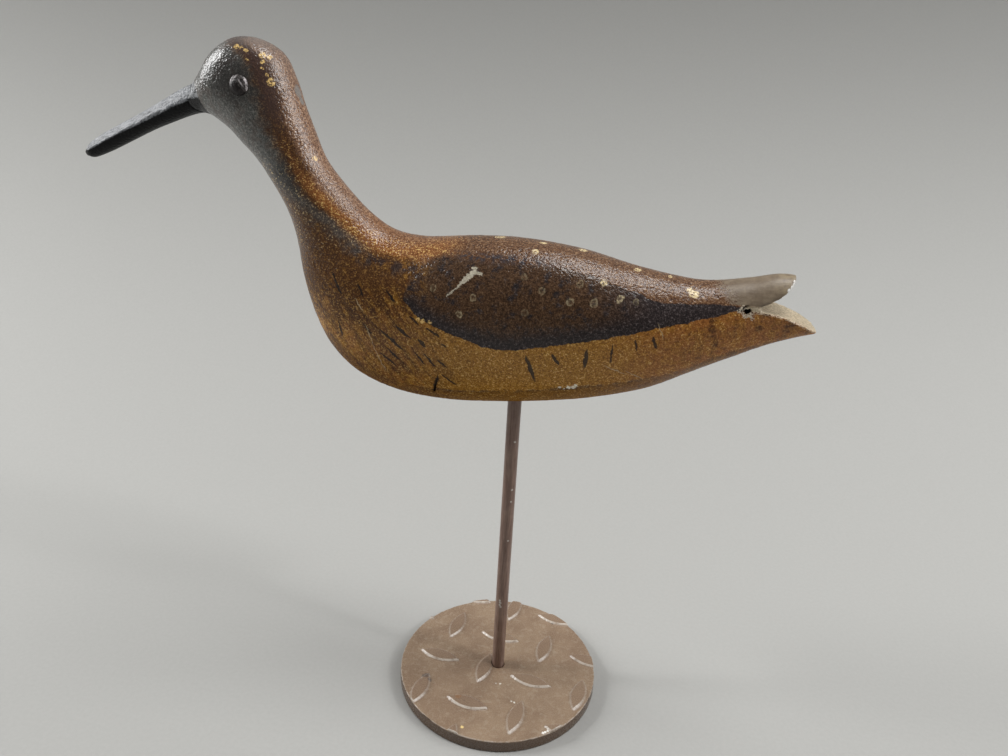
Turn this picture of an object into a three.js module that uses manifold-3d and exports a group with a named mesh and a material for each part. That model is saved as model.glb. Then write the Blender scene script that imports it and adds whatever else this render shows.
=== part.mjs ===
// A carved and painted shorebird decoy that stands on a thin rod in a round plate of floor steel.
// The bird faces -X with its left side to -Y. The origin is the centre of the plate's underside.

import * as THREE from "three";
import { mergeVertices } from "three/addons/utils/BufferGeometryUtils.js";
import Module from "manifold-3d";

const wasm = await Module();
wasm.setup();

// Driving dimensions in millimetres

const plateDiameter = 101.6;
const plateThickness = 6.35;
const lugLength = 24;
const lugWidth = 9.4;
const lugHeight = 1.2;
const lugSideSlope = 1.5;
const lugPointSlope = 3;
const lugPitch = 25.2;
const lugTurn = -5.4;
const lugStart = [-6, -5.2];

const rodDiameter = 6.35;
const rodExposed = 154.6;
const rodSocketDepth = 28;
const rodFootGap = 0.3;
const plateHoleDepth = 5;
const plateHoleClearance = 0.55;
const socketClearance = 0.3;

const carvedLength = 266.7;
const carvedThickness = 49;

const billLength = 66.6;
const billDroop = 24;
const billSeam = 0.3;
const billSaddle = 3.2;

const eyeDiameter = 8;
const eyeProud = 1.6;
const eyeSeat = 1.5;
const eyeShoulder = 0.75;
const eyeClearance = 0.3;

// Carving of the bird, in hundredths of its carved length, from the point where the rod meets the belly.
// Each station pairs a point of the back line with one of the belly line, from the tail to the face.
// The width is a share of the thickness; the roundness is that of the upper and of the lower half.

const stations = [
  { back: [45.4, 24.4], belly: [45.4, 17.8], width: 0.38, round: [2.2, 2.6] },
  { back: [41.5, 25.5], belly: [41.5, 16.3], width: 0.39, round: [2.2, 2.6] },
  { back: [38.6, 25.6], belly: [38.4, 14.9], width: 0.41, round: [2.1, 2.6] },
  { back: [34.1, 24.5], belly: [33.7, 12.4], width: 0.49, round: [2.0, 2.5] },
  { back: [27.4, 23.4], belly: [28.0, 9.3], width: 0.63, round: [2.0, 2.4] },
  { back: [18.0, 24.4], belly: [21.4, 5.5], width: 0.81, round: [2.0, 2.3] },
  { back: [9.0, 26.2], belly: [13.5, 2.8], width: 0.94, round: [2.1, 2.3] },
  { back: [0, 26.9], belly: [5.2, 0.9], width: 1, round: [2.1, 2.3] },
  { back: [-7.5, 26.6], belly: [-3.0, -0.5], width: 1, round: [2.1, 2.3] },
  { back: [-12.5, 26.0], belly: [-11.2, -1.3], width: 1, round: [2.1, 2.3] },
  { back: [-16.5, 25.6], belly: [-20.0, -0.8], width: 0.97, round: [2.0, 2.3] },
  { back: [-19.4, 25.7], belly: [-27.2, 1.7], width: 0.92, round: [2.0, 2.3] },
  { back: [-21.6, 26.1], belly: [-32.2, 6.2], width: 0.84, round: [2.0, 2.3] },
  { back: [-23.3, 26.8], belly: [-35.0, 11.3], width: 0.75, round: [2.0, 2.2] },
  { back: [-25.0, 27.9], belly: [-36.9, 16.9], width: 0.65, round: [2.0, 2.1] },
  { back: [-27.2, 29.6], belly: [-38.0, 22.8], width: 0.57, round: [2.0, 2.0] },
  { back: [-30.6, 33.0], belly: [-39.6, 28.1], width: 0.53, round: [2.0, 2.0] },
  { back: [-33.6, 36.7], belly: [-42.2, 32.5], width: 0.52, round: [2.0, 2.0] },
  { back: [-35.4, 41.1], belly: [-44.7, 35.8], width: 0.54, round: [2.0, 2.0] },
  { back: [-36.9, 44.8], belly: [-46.9, 38.0], width: 0.56, round: [2.1, 2.1] },
  { back: [-38.2, 48.4], belly: [-48.7, 39.7], width: 0.58, round: [2.2, 2.1] },
  { back: [-39.9, 51.6], belly: [-50.2, 40.7], width: 0.58, round: [2.2, 2.1] },
  { back: [-43.3, 53.4], belly: [-51.4, 41.4], width: 0.56, round: [2.2, 2.1] },
  { back: [-47.0, 53.6], belly: [-52.3, 41.8], width: 0.51, round: [2.2, 2.1] },
  { back: [-50.4, 51.8], belly: [-53.0, 41.9], width: 0.43, round: [2.2, 2.1] },
  { back: [-53.0, 48.8], belly: [-53.3, 42.0], width: 0.33, round: [2.2, 2.1] },
  { back: [-55.1, 46.4], belly: [-53.5, 42.0], width: 0.24, round: [2.8, 2.1] },
];

// The notch runs in from the end to its apex, under the folded wing tips and over the tail
const notchApex = [34.3, 20.7];
const wingUnderside = [38.4, 21.6];
const tailUpperside = [40.0, 20.9];
const wingTip = [40.7, 24.8];
const tailTip = [44.9, 17.9];
const wingTipRounding = 2.9;
const tailTipRounding = 1.7;
const tipHalfWidth = 0.42;

const eyeStation = 21;
const eyeAngle = 6;

// Carving of the bill: places along it as shares of its length, and how far it reaches over and under
// its middle line and to each side, as shares of the flat of the face where it sits
const billStations = [
  { along: 0, over: 1, under: 1, side: 1 },
  { along: 0.05, over: 1.02, under: 0.84, side: 0.97 },
  { along: 0.13, over: 1, under: 0.72, side: 0.91 },
  { along: 0.26, over: 0.9, under: 0.63, side: 0.83 },
  { along: 0.42, over: 0.79, under: 0.56, side: 0.77 },
  { along: 0.6, over: 0.72, under: 0.59, side: 0.73 },
  { along: 0.78, over: 0.65, under: 0.63, side: 0.7 },
  { along: 0.9, over: 0.53, under: 0.6, side: 0.65 },
  { along: 0.96, over: 0.36, under: 0.52, side: 0.53 },
  { along: 1, over: 0.08, under: 0.28, side: 0.25 },
];

// Smoothness of the facets

const alongSteps = 70;
const aroundSteps = 36;
const postSegments = 32;
const rimSegments = 120;
const lugSegments = 10;
const billSteps = 27;
const billAroundSteps = 20;
const saddleSteps = 3;
const eyeSteps = 6;

// Shared geometry helpers

// A power that keeps the sign of what it is taken of
function signedPower(value, exponent) {
  return Math.sign(value) * Math.abs(value) ** exponent;
}

// A closed skin over a list of rings of equal size, capped flat at both ends
function skin(rings) {
  const size = rings[0].length;
  const positions = rings.flat().flatMap((point) => point.toArray());
  const indices = [];
  for (let ring = 0; ring < rings.length - 1; ring += 1) {
    for (let step = 0; step < size; step += 1) {
      const next = (step + 1) % size;
      const here = ring * size;
      const there = here + size;
      indices.push(here + step, here + next, there + next);
      indices.push(here + step, there + next, there + step);
    }
  }
  const last = rings.length - 1;
  for (const end of [0, last]) {
    const middle = new THREE.Vector3();
    rings[end].forEach((point) => middle.addScaledVector(point, 1 / size));
    const centre = positions.length / 3;
    positions.push(...middle.toArray());
    for (let step = 0; step < size; step += 1) {
      const next = (step + 1) % size;
      const edge = end === last ? [step, next] : [next, step];
      indices.push(end * size + edge[0], end * size + edge[1], centre);
    }
  }
  const geometry = new THREE.BufferGeometry();
  geometry.setAttribute("position", new THREE.Float32BufferAttribute(positions, 3));
  geometry.setIndex(indices);
  return geometry;
}

// A geometry as a solid that can be joined and cut
function solid(geometry) {
  geometry.deleteAttribute("normal");
  geometry.deleteAttribute("uv");
  const merged = mergeVertices(geometry);
  return new wasm.Manifold(new wasm.Mesh({
    numProp: 3,
    vertProperties: new Float32Array(merged.getAttribute("position").array),
    triVerts: new Uint32Array(merged.index.array),
  }));
}

// A solid as a geometry that can be shown
function geometryOf(body) {
  const mesh = body.getMesh();
  const geometry = new THREE.BufferGeometry();
  geometry.setAttribute("position", new THREE.BufferAttribute(new Float32Array(mesh.vertProperties), 3));
  geometry.setIndex(new THREE.BufferAttribute(new Uint32Array(mesh.triVerts), 1));
  geometry.computeVertexNormals();
  return geometry;
}

// An upright cylinder between two heights
function post(diameter, bottom, top, segments) {
  const geometry = new THREE.CylinderGeometry(diameter / 2, diameter / 2, top - bottom, segments);
  geometry.rotateX(Math.PI / 2);
  geometry.translate(0, 0, (top + bottom) / 2);
  return geometry;
}

function paint(name, geometry, color, roughness, metalness) {
  const mesh = new THREE.Mesh(geometry, new THREE.MeshStandardMaterial({ color, roughness, metalness }));
  mesh.name = name;
  return mesh;
}

const decoy = new THREE.Group();

// Base: a disc cut from raised-pattern floor plate, so that its rim clips the lugs, drilled for the rod

const lugTop = plateThickness + lugHeight;
const lugRoot = plateThickness / 2;
const holeFloor = plateThickness - plateHoleDepth;

// The outline of one lug, pointed at both ends, at a height
function lugRing(length, width, height) {
  const ring = [];
  for (let step = 0; step < 2 * lugSegments; step += 1) {
    const angle = Math.PI * step / lugSegments;
    const along = Math.cos(angle);
    const across = Math.sign(Math.sin(angle)) * (1 - along * along);
    ring.push(new THREE.Vector3(along * length / 2, across * width / 2, height));
  }
  return ring;
}

function lug() {
  const topLength = lugLength - 2 * lugPointSlope;
  const topWidth = lugWidth - 2 * lugSideSlope;
  return skin([
    lugRing(lugLength, lugWidth, lugRoot),
    lugRing(lugLength, lugWidth, plateThickness),
    lugRing(topLength, topWidth, lugTop),
  ]);
}

function floorPlate() {
  const sheet = new THREE.BoxGeometry(2 * plateDiameter, 2 * plateDiameter, plateThickness);
  sheet.translate(0, 0, plateThickness / 2);
  let body = solid(sheet);
  const turn = THREE.MathUtils.degToRad(lugTurn);
  const reach = Math.ceil((plateDiameter + lugLength) / 2 / lugPitch) + 1;
  for (let column = -reach; column <= reach; column += 1) {
    for (let row = -reach; row <= reach; row += 1) {
      const place = new THREE.Vector2(column, row).multiplyScalar(lugPitch);
      place.rotateAround(new THREE.Vector2(), turn).add(new THREE.Vector2(...lugStart));
      if (place.length() < (plateDiameter + lugLength) / 2) {
        const upright = (column + row) % 2 === 0;
        const geometry = lug();
        geometry.rotateZ(turn + (upright ? Math.PI / 2 : 0));
        geometry.translate(place.x, place.y, 0);
        body = body.add(solid(geometry));
      }
    }
  }
  const disc = post(plateDiameter, 0, lugTop + plateThickness, rimSegments);
  const hole = post(rodDiameter + 2 * plateHoleClearance, holeFloor, lugTop + plateThickness, postSegments);
  return body.intersect(solid(disc)).subtract(solid(hole));
}

decoy.add(paint("base_plate", geometryOf(floorPlate()), 0x8a7666, 0.5, 0.3));

// Rod: upright, from the floor of the plate's hole to the end of the socket in the belly

const bellyHeight = plateThickness + rodExposed;
const rodTop = bellyHeight + rodSocketDepth - socketClearance;

decoy.add(paint("rod", post(rodDiameter, holeFloor + rodFootGap, rodTop, postSegments), 0x5a3c34, 0.45, 0.5));

// Bird: one carved piece, from the tail to the flat of the face where the bill sits

const share = carvedLength / 100;

function carved([along, up]) {
  return new THREE.Vector3(along * share, 0, bellyHeight + up * share);
}

function smoothLine(points) {
  return new THREE.CatmullRomCurve3(points, false, "centripetal");
}

const backLine = smoothLine(stations.map((station) => carved(station.back)));
const bellyLine = smoothLine(stations.map((station) => carved(station.belly)));
const fullness = stations.map((station) => new THREE.Vector3(station.width, ...station.round));
const fullnessLine = new THREE.CatmullRomCurve3(fullness, false, "catmullrom", 0.5);

// The point on the bird's skin at a place along it, from 0 at the tail to 1 at the face,
// and at an angle around it, where 0 is the right side and a quarter turn is the back
function skinPoint(place, angle) {
  const back = backLine.getPoint(place);
  const belly = bellyLine.getPoint(place);
  const full = fullnessLine.getPoint(place);
  const middle = belly.clone().lerp(back, 0.5);
  const rise = Math.sin(angle);
  const roundness = rise > 0 ? full.y : full.z;
  const side = signedPower(Math.cos(angle), 2 / roundness) * full.x * carvedThickness / 2;
  const lift = Math.abs(rise) ** (2 / roundness);
  const point = middle.lerp(rise > 0 ? back : belly, lift);
  point.y = side;
  return point;
}

function skinRing(place) {
  const ring = [];
  for (let step = 0; step < aroundSteps; step += 1) {
    ring.push(skinPoint(place, -2 * Math.PI * step / aroundSteps));
  }
  return ring;
}

// Where the bill meets the face, the seam runs forward on both cheeks
const face = stations[stations.length - 1];
const faceHalfWidth = face.width * carvedThickness / 2;
const droop = THREE.MathUtils.degToRad(billDroop);
const billForward = new THREE.Vector3(-Math.cos(droop), 0, -Math.sin(droop));

function saddle(ring, strength) {
  for (const point of ring) {
    const reach = Math.min(1, Math.abs(point.y) / faceHalfWidth);
    point.addScaledVector(billForward, billSaddle * reach * reach * strength);
  }
}

// A cutter with an outline in the middle plane, right through the bird
function sideCutter(shape) {
  const geometry = new THREE.ExtrudeGeometry(shape, { depth: 2 * carvedThickness, bevelEnabled: false });
  geometry.rotateX(Math.PI / 2);
  geometry.translate(0, carvedThickness, 0);
  return solid(geometry);
}

// The notch between the folded wing tips, above, and the tail, below
function notch() {
  const apex = carved(notchApex);
  const under = carved(wingUnderside);
  const tip = carved(wingTip);
  const upper = carved(tailUpperside);
  const tail = carved(tailTip);
  const clear = carvedLength;
  const shape = new THREE.Shape();
  shape.moveTo(apex.x, apex.z);
  shape.quadraticCurveTo(upper.x, upper.z, tail.x, tail.z);
  shape.lineTo(tail.x + clear, tail.z);
  shape.lineTo(tail.x + clear, tip.z + clear);
  shape.lineTo(tip.x, tip.z + clear);
  shape.lineTo(tip.x, tip.z);
  shape.quadraticCurveTo(under.x, under.z, apex.x, apex.z);
  return sideCutter(shape);
}

// What is cut away to round an end, seen from above
function endCutter(tip, rounding, bottom, top) {
  const end = carved(tip).x;
  const length = rounding * share;
  const halfWidth = tipHalfWidth * carvedThickness / 2;
  const clear = carvedThickness;
  const shape = new THREE.Shape();
  shape.moveTo(end - length, clear);
  shape.lineTo(end - length, halfWidth);
  shape.absellipse(end - length, 0, length, halfWidth, Math.PI / 2, -Math.PI / 2, true);
  shape.lineTo(end - length, -clear);
  shape.lineTo(end + clear, -clear);
  shape.lineTo(end + clear, clear);
  const geometry = new THREE.ExtrudeGeometry(shape, { depth: top - bottom, bevelEnabled: false });
  geometry.translate(0, 0, bottom);
  return solid(geometry);
}

// Where an eye sits: a turn and a place on the skin, facing out. The side is 1 on the right, -1 on the left
function eyeSocket(side) {
  const place = eyeStation / (stations.length - 1);
  const angle = THREE.MathUtils.degToRad(eyeAngle);
  const small = 0.01;
  const point = skinPoint(place, angle);
  const alongSkin = skinPoint(place + small, angle).sub(point);
  const aroundSkin = skinPoint(place, angle + small).sub(point);
  const out = new THREE.Vector3().crossVectors(alongSkin, aroundSkin).normalize();
  if (out.y < 0) out.negate();
  point.y *= side;
  out.y *= side;
  const turn = new THREE.Quaternion().setFromUnitVectors(new THREE.Vector3(0, 1, 0), out);
  return new THREE.Matrix4().compose(point, turn, new THREE.Vector3(1, 1, 1));
}

function eyeSeatCutter(side) {
  const depth = eyeSeat + eyeClearance;
  const height = depth + eyeProud;
  const radius = eyeDiameter / 2 + eyeClearance;
  const geometry = new THREE.CylinderGeometry(radius, radius, height, postSegments);
  geometry.translate(0, height / 2 - depth, 0);
  geometry.applyMatrix4(eyeSocket(side));
  return solid(geometry);
}

function birdBody() {
  const rings = [];
  for (let step = 0; step <= alongSteps; step += 1) {
    rings.push(skinRing(step / alongSteps));
  }
  for (let step = 0; step < saddleSteps; step += 1) {
    saddle(rings[alongSteps - step], 1 - step / saddleSteps);
  }
  const split = carved(notchApex).z;
  const socket = post(rodDiameter + 2 * socketClearance, bellyHeight - carvedThickness,
    bellyHeight + rodSocketDepth, postSegments);
  return solid(skin(rings))
    .subtract(notch())
    .subtract(endCutter(wingTip, wingTipRounding, split, split + carvedLength))
    .subtract(endCutter(tailTip, tailTipRounding, split - carvedLength, split))
    .subtract(eyeSeatCutter(-1))
    .subtract(eyeSeatCutter(1))
    .subtract(solid(socket));
}

decoy.add(paint("carved_bird", geometryOf(birdBody()), 0x6b4a2b, 0.6, 0));

// Bill: a tapered piece on the flat of the face, flatter above than below, with a blunt round tip

function bill() {
  const back = carved(face.back);
  const belly = carved(face.belly);
  const up = back.clone().sub(belly);
  const halfDepth = up.length() / 2;
  const root = back.clone().lerp(belly, 0.5).addScaledVector(billForward, billSeam);
  up.normalize();
  const shape = billStations.map((station) => new THREE.Vector3(station.over, station.under, station.side));
  const shapeLine = new THREE.CatmullRomCurve3(shape, false, "catmullrom", 0.5);
  const places = billStations.map((station) => new THREE.Vector3(station.along, 0, 0));
  const placeLine = new THREE.CatmullRomCurve3(places, false, "catmullrom", 0.5);
  const rings = [];
  for (let step = 0; step <= billSteps; step += 1) {
    const reach = shapeLine.getPoint(step / billSteps);
    const along = placeLine.getPoint(step / billSteps).x;
    const middle = root.clone().addScaledVector(billForward, along * billLength);
    const ring = [];
    for (let turn = 0; turn < billAroundSteps; turn += 1) {
      const angle = -2 * Math.PI * turn / billAroundSteps;
      const rise = Math.sin(angle);
      const power = 2 / (rise > 0 ? face.round[0] : face.round[1]);
      const height = signedPower(rise, power) * (rise > 0 ? reach.x : reach.y) * halfDepth;
      const point = middle.clone().addScaledVector(up, height);
      point.y = signedPower(Math.cos(angle), power) * reach.z * faceHalfWidth;
      ring.push(point);
    }
    saddle(ring, 1 - along);
    rings.push(ring);
  }
  return skin(rings);
}

decoy.add(paint("bill", bill(), 0x17181a, 0.35, 0));

// Eyes: small glossy domes, each in a flat seat in the side of the head

function eye(side) {
  const radius = eyeDiameter / 2;
  const profile = new THREE.Path();
  profile.moveTo(0, -eyeSeat);
  profile.lineTo(radius, -eyeSeat);
  profile.lineTo(radius, 0);
  profile.quadraticCurveTo(radius * eyeShoulder, eyeProud, 0, eyeProud);
  const geometry = new THREE.LatheGeometry(profile.getPoints(eyeSteps), postSegments);
  geometry.applyMatrix4(eyeSocket(side));
  return solid(geometry);
}

decoy.add(paint("eye_left", geometryOf(eye(-1)), 0x121214, 0.12, 0));
decoy.add(paint("eye_right", geometryOf(eye(1)), 0x121214, 0.12, 0));

export default decoy;
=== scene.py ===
import math

import bmesh
import bpy
import numpy as np
from mathutils import Matrix, Vector


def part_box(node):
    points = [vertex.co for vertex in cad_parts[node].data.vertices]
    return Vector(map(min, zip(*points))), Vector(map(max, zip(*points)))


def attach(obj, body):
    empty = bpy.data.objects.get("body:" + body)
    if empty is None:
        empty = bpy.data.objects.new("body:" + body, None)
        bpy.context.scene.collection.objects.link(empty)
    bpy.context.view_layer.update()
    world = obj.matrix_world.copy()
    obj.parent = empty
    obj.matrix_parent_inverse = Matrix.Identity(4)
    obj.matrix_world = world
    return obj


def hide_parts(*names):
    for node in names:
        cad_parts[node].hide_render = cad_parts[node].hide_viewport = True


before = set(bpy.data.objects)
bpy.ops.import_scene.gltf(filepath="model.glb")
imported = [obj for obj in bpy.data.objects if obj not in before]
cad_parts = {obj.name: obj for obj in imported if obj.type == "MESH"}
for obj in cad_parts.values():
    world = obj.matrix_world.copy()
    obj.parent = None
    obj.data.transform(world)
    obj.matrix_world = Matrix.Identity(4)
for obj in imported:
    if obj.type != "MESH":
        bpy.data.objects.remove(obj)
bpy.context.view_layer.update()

MM = 0.001


# Base plate
# A disc cut from raised-pattern steel floor plate and drilled in the middle for the rod.
# The lugs stand in rows, each turned a quarter from its neighbours; brown paint is brushed over all.

class Wire:
    """A socket of a node tree, from which further nodes are strung."""

    def __init__(self, tree, socket):
        self.tree, self.socket = tree, socket

    def node(self, kind, settings=None, inputs=None, output=0):
        made = self.tree.nodes.new(kind)
        for name, value in (settings or {}).items():
            if name == "stops":
                ramp = made.color_ramp
                while len(ramp.elements) < len(value):
                    ramp.elements.new(1)
                for stop, (place, *tint) in zip(ramp.elements, value):
                    stop.position, stop.color = place, (*tint, 1)
            elif name == "points":
                line = made.mapping.curves[0]
                while len(line.points) < len(value):
                    line.points.new(0.5, 0.5)
                for point, place in zip(line.points, value):
                    point.location = place
                made.mapping.extend = "HORIZONTAL"
                made.mapping.update()
            else:
                setattr(made, name, value)
        for name, value in (inputs or {}).items():
            socket = made.inputs[name]
            if isinstance(value, Wire):
                self.tree.links.new(value.socket, socket)
            else:
                socket.default_value = (*value, 1) if socket.type == "RGBA" else value
        return Wire(self.tree, made.outputs[output])

    def maths(self, operation, *values):
        return self.node("ShaderNodeMath", {"operation": operation}, dict(enumerate((self, *values))))

    def __add__(self, other):
        return self.maths("ADD", other)

    def __sub__(self, other):
        return self.maths("SUBTRACT", other)

    def __rsub__(self, other):
        return self.maths("MULTIPLY_ADD", -1, other)

    def __mul__(self, other):
        return self.maths("MULTIPLY", other)

    def __truediv__(self, other):
        return self.maths("DIVIDE", other)

    __radd__ = __add__
    __rmul__ = __mul__

    def smallest(self, other):
        return self.maths("MINIMUM", other)

    def largest(self, other):
        return self.maths("MAXIMUM", other)

    def size(self):
        return self.maths("ABSOLUTE")

    def vector(self, operation, other=(0, 0, 0), output=0):
        """Vector maths with another vector, or with a number for SCALE."""
        inputs = {0: self, "Scale" if operation == "SCALE" else 1: other}
        return self.node("ShaderNodeVectorMath", {"operation": operation}, inputs, output)

    def parts(self):
        """The x, y and z of a vector."""
        split = self.node("ShaderNodeSeparateXYZ", inputs={0: self}).socket.node
        return [Wire(self.tree, socket) for socket in split.outputs]

    def step(self, low, high):
        """From 0 at low to 1 at high, smoothly; low may be the larger."""
        return self.node("ShaderNodeMapRange", {"interpolation_type": "SMOOTHSTEP"},
                         {"Value": self, "From Min": low, "From Max": high})

    def noise(self, scale, detail, roughness, output=0):
        """Soft noise about 0.5 on a position; the scale is in lumps for each unit of it."""
        return self.node("ShaderNodeTexNoise", inputs={
            "Vector": self, "Scale": scale, "Detail": detail, "Roughness": roughness}, output=output)

    def drifted(self, reach, scale, roughness=0.7, detail=3):
        """A position pushed about by noise, by up to half the reach each way."""
        push = self.noise(scale, detail, roughness, output=1).vector("SUBTRACT", (0.5, 0.5, 0.5))
        return self.vector("ADD", push.vector("SCALE", reach))

    def tints(self, *stops):
        """A colour for each value of this; a stop is a value from 0 to 1, then red, green and blue."""
        return self.node("ShaderNodeValToRGB", {"stops": stops}, {"Fac": self})

    def over(self, base, colour):
        """A colour laid over a base colour, where this mask is 1."""
        return self.node("ShaderNodeMix", {"data_type": "RGBA"}, {0: self, 6: base, 7: colour}, 2)


def spots(place, marks):
    """How far off the nearest round mark is, in marks' own sizes: place and size."""
    nearest = None
    for *middle, size in marks:
        away = place.vector("DISTANCE", middle, output=1) / size
        nearest = away if nearest is None else nearest.smallest(away)
    return nearest


def new_finish(name):
    """A material, with its shader and a position in millimetres."""
    material = bpy.data.materials.new(name)
    material.use_nodes = True
    tree = material.node_tree
    shader = tree.nodes["Principled BSDF"]
    place = Wire(tree, tree.nodes.new("ShaderNodeTexCoord").outputs["Object"])
    return material, shader, place.vector("SCALE", 1 / MM)


def finish_with(shader, **values):
    """Sets or links the shader's sockets, named with _ for a space."""
    for name, value in values.items():
        socket = shader.inputs[name.replace("_", " ")]
        if isinstance(value, Wire):
            value.tree.links.new(value.socket, socket)
        else:
            socket.default_value = value


def part_matt(shader, colour, mask):
    """Shows the same colour without gloss, where the mask is 1."""
    tree = colour.tree
    matt = colour.node("ShaderNodeBsdfPrincipled", inputs={
        "Base Color": colour, "Roughness": 0.9, "Specular IOR Level": 0})
    glossy = Wire(tree, shader.outputs[0])
    shown = matt.node("ShaderNodeMixShader", inputs={0: mask, 1: glossy, 2: matt})
    tree.links.new(shown.socket, tree.nodes["Material Output"].inputs["Surface"])


def bumped(height, distance):
    """A surface normal pushed about by a height from 0 to 1, worth a distance in millimetres."""
    return height.node("ShaderNodeBump", inputs={"Height": height, "Distance": distance * MM})


def new_piece(name, points, faces, smooth=True):
    """A piece from points in millimetres."""
    mesh = bpy.data.meshes.new(name)
    mesh.from_pydata(np.asarray(points, float) * MM, [], [tuple(map(int, face)) for face in faces])
    mesh.validate()
    mesh.update()
    if smooth:
        mesh.shade_smooth()
    piece = bpy.data.objects.new(name, mesh)
    bpy.context.scene.collection.objects.link(piece)
    return piece


def settled(piece):
    """Takes a piece's modifiers into its mesh."""
    shaped = piece.evaluated_get(bpy.context.evaluated_depsgraph_get())
    mesh = bpy.data.meshes.new_from_object(shaped)
    piece.modifiers.clear()
    piece.data = mesh
    return piece


def new_rule(name, sizes):
    """An empty geometry tree with named inputs, each with its default value."""
    tree = bpy.data.node_groups.new(name, "GeometryNodeTree")
    for side in ("INPUT", "OUTPUT"):
        tree.interface.new_socket("Geometry", in_out=side, socket_type="NodeSocketGeometry")
    for label, value in sizes.items():
        socket = tree.interface.new_socket(label, in_out="INPUT", socket_type="NodeSocketFloat")
        socket.default_value = value
    source = tree.nodes.new("NodeGroupInput")
    wires = {socket.name: Wire(tree, socket) for socket in source.outputs if socket.name}
    return tree, wires


def close_rule(tree, geometry, material):
    """Ends a geometry tree with real geometry in its material."""
    real = geometry.node("GeometryNodeRealizeInstances", inputs={0: geometry})
    shown = real.node("GeometryNodeSetMaterial", inputs={"Geometry": real, "Material": material})
    tree.links.new(shown.socket, tree.nodes.new("NodeGroupOutput").inputs[0])


def follow_rule(piece, tree, **sizes):
    """Puts a piece through a geometry tree, with its inputs set by name, and keeps the result."""
    rule = piece.modifiers.new(tree.name, "NODES")
    rule.node_group = tree
    for item in tree.interface.items_tree:
        if item.in_out == "INPUT" and item.name in sizes:
            rule[item.identifier] = float(sizes[item.name])
    return settled(piece)


plate_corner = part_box("base_plate")[1]
plate_radius = plate_corner.x / MM
lug_height = 1.2
plate_top = plate_corner.z / MM - lug_height
plate_burr = 0.3
rod_hole_radius = 3.45
rod_hole_depth = 5
lug_pitch = 25.2
lug_turn = -5.4
lug_start = (-6, -5.2)
lug_length = 24
lug_width = 9.4
lug_slope = 2.0
# Nicks in the rim: degrees round it, half width in degrees, depth
rim_nicks = ((-118, 2.2, 0.55), (-121, 1.2, 0.35), (143, 1.6, 0.5), (-60, 1.4, 0.3), (112, 1.8, 0.35),
             (20, 1.3, 0.3), (-12, 1, 0.25))


def plate_blank():
    """The disc: a square mesh pressed round, with a hole in the middle, a rim and an underside."""
    half = 128
    inner = 10
    edge = 0.45
    points = []
    index = {}
    for row in range(-half, half + 1):
        for column in range(-half, half + 1):
            ring = max(abs(row), abs(column))
            if ring < inner:
                continue
            share = (ring - inner) / (half - inner)
            radius = rod_hole_radius + share * (plate_radius - edge - rod_hole_radius)
            if abs(column) >= abs(row):
                angle = math.pi / 4 * row / column + (math.pi if column < 0 else 0)
            else:
                angle = math.pi / 2 - math.pi / 4 * column / row + (math.pi if row < 0 else 0)
            index[column, row] = len(points)
            points.append((radius * math.cos(angle), radius * math.sin(angle), plate_top))
    faces = []
    for row in range(-half, half):
        for column in range(-half, half):
            corners = [(column, row), (column + 1, row), (column + 1, row + 1), (column, row + 1)]
            if all(corner in index for corner in corners):
                faces.append([index[corner] for corner in corners])

    def border(ring):
        """The points round one ring of the square mesh: a side, and its three quarter turns."""
        corners = [(ring, step) for step in range(-ring, ring)]
        for _ in range(3):
            corners += [(-row, column) for column, row in corners[-2 * ring:]]
        return [index[corner] for corner in corners]

    def skirt(loop, rings, flip):
        """Rings of points below a border, each given by its radius and height."""
        for radius, height in rings:
            fresh = []
            for corner in loop:
                x, y, _ = points[corner]
                angle = math.atan2(y, x)
                nicked = radius(angle) if callable(radius) else radius
                fresh.append(len(points))
                points.append((nicked * math.cos(angle), nicked * math.sin(angle), height))
            for step in range(len(loop)):
                after = (step + 1) % len(loop)
                face = [loop[step], fresh[step], fresh[after], loop[after]]
                faces.append(face[::-1] if flip else face)
            loop = fresh
        return loop

    def nicked_rim(angle):
        """How far out the rim's upper edge stands, a little sawn, with nicks."""
        nick = 0
        for place, width, depth in rim_nicks:
            away = (math.degrees(angle) - place + 180) % 360 - 180
            nick += depth * math.exp(-(away / width) ** 2)
        saw = 0.05 * math.sin(41 * angle) + 0.04 * math.sin(67 * angle + 1)
        return plate_radius - 0.06 - abs(saw) - nick

    outside = [(plate_radius - 0.2, plate_top - 0.06), (nicked_rim, plate_top - 0.35)]
    outside += [(plate_radius, plate_top * share) for share in (0.8, 0.6, 0.4, 0.2)]
    outside += [(plate_radius, plate_burr), (plate_radius - plate_burr, 0), (plate_radius * 0.6, 0)]
    faces.append(skirt(border(half), outside, False)[::-1])
    bore = rod_hole_radius - 0.1
    inside = [(bore, plate_top - plate_burr), (bore, plate_top - rod_hole_depth)]
    faces.append(skirt(border(inner), inside, True))
    return new_piece("floor_plate_disc", points, faces)


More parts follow.
